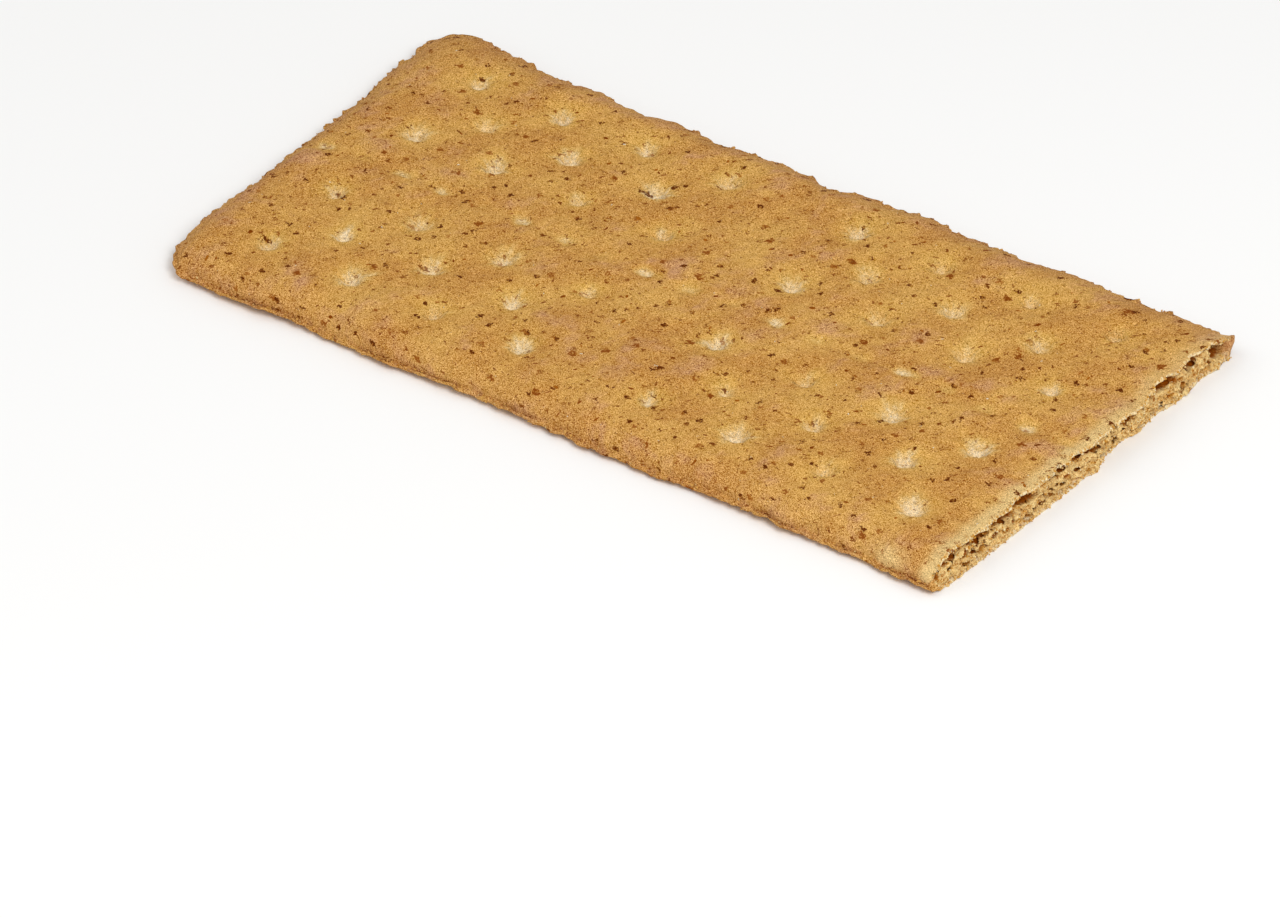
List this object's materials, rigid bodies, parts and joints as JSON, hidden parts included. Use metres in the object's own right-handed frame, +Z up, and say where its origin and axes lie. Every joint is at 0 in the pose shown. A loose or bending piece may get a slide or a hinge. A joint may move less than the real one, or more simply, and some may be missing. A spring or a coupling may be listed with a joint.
{
  "type": "graham cracker",
  "caption": "Flat oblong baked cracker with docker holes, a lengthwise and a cross score line, pinched edges and a snapped end.",
  "frame": {"origin": "centre of the underside's bounding rectangle, on the surface that the cracker rests on", "axes": "+X along the cracker's length towards the snapped end, +Y across it, +Z up through its thickness"},
  "size_m": [0.1255, 0.066, 0.0048],
  "materials": {
    "crust": "baked golden-brown crust, matt and finely grained, with brown bran flecks; it stands in for baked wholemeal dough",
    "crumb": "pale cream broken crumb, matt and open-pored; it stands in for the inside of baked wholemeal dough"
  },
  "bodies": {
    "root": {"cracker": "crust"}
  },
  "joints": []
}
